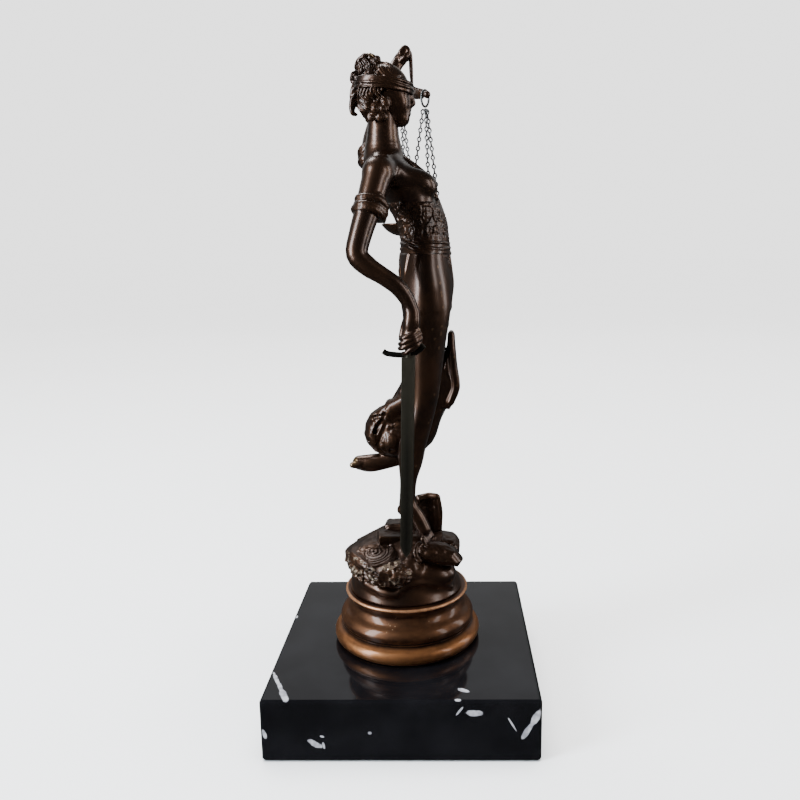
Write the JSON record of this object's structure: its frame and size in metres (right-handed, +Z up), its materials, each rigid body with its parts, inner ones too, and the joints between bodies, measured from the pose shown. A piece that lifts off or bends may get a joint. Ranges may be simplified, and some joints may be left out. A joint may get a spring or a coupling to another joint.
{
  "type": "lady justice statue",
  "caption": "Bronze figure of blindfolded Lady Justice with a lowered sword and hanging scales, on a turned plinth and a square marble slab.",
  "frame": {"origin": "middle of the marble slab's underside, on the surface that the statue stands on", "axes": "+Z up; the figure faces -Y; her left hand, with the scales, is on the +X side, and her right hand with the sword on the -X side"},
  "size_m": [0.1212, 0.1, 0.2634],
  "materials": {
    "marble": "polished black marble with sparse white flecks",
    "warm_bronze": "satin warm brown patina, worn copper on the edges",
    "dark_bronze": "satin dark brown patina with smooth worn highlights",
    "chain_steel": "darkened bright metal"
  },
  "bodies": {
    "root": {"marble_slab": "marble", "round_plinth": "warm_bronze", "lady_justice_figure": "dark_bronze", "sword": "dark_bronze", "scale_beam": "dark_bronze", "inner_ring": "chain_steel", "inner_chain_1": "chain_steel", "inner_chain_2": "chain_steel", "inner_chain_3": "chain_steel", "inner_pan": "dark_bronze", "outer_ring": "chain_steel", "outer_chain_1": "chain_steel", "outer_chain_2": "chain_steel", "outer_chain_3": "chain_steel", "outer_pan": "dark_bronze"}
  },
  "joints": []
}
